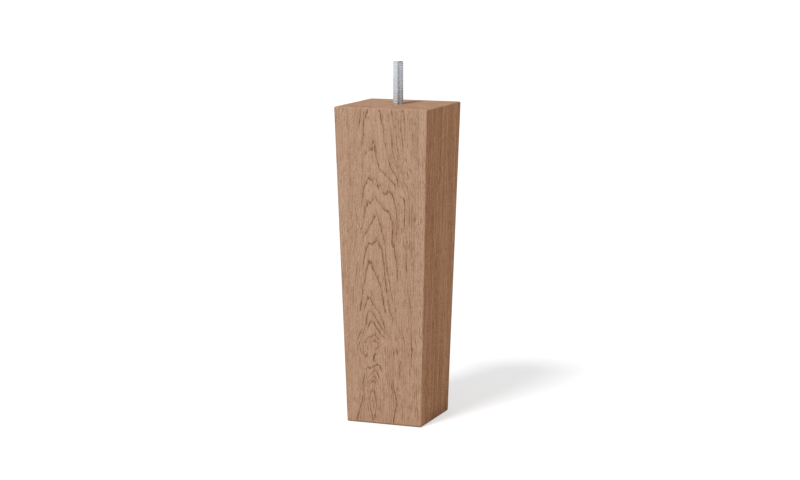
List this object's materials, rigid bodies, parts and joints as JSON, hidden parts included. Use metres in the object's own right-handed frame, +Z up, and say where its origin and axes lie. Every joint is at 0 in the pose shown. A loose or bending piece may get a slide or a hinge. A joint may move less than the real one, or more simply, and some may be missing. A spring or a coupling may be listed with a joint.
{
  "type": "tapered furniture leg",
  "caption": "Square tapered solid oak furniture leg, wider at the top, with softened edges and a threaded steel stud that screws into the furniture above.",
  "frame": {"origin": "middle of the foot, on the surface that the leg stands on", "axes": "+Z up the leg towards the stud, -Y out of the face with the arched grain, +X to the right of that face"},
  "size_m": [0.074, 0.074, 0.272],
  "materials": {
    "oak": "matt clear lacquer on brown-toned oak, flat-sawn front with arched grain",
    "zinc_steel": "bright zinc plating on rolled thread"
  },
  "bodies": {
    "root": {"leg_block": "oak", "hanger_bolt": "zinc_steel"}
  },
  "joints": []
}
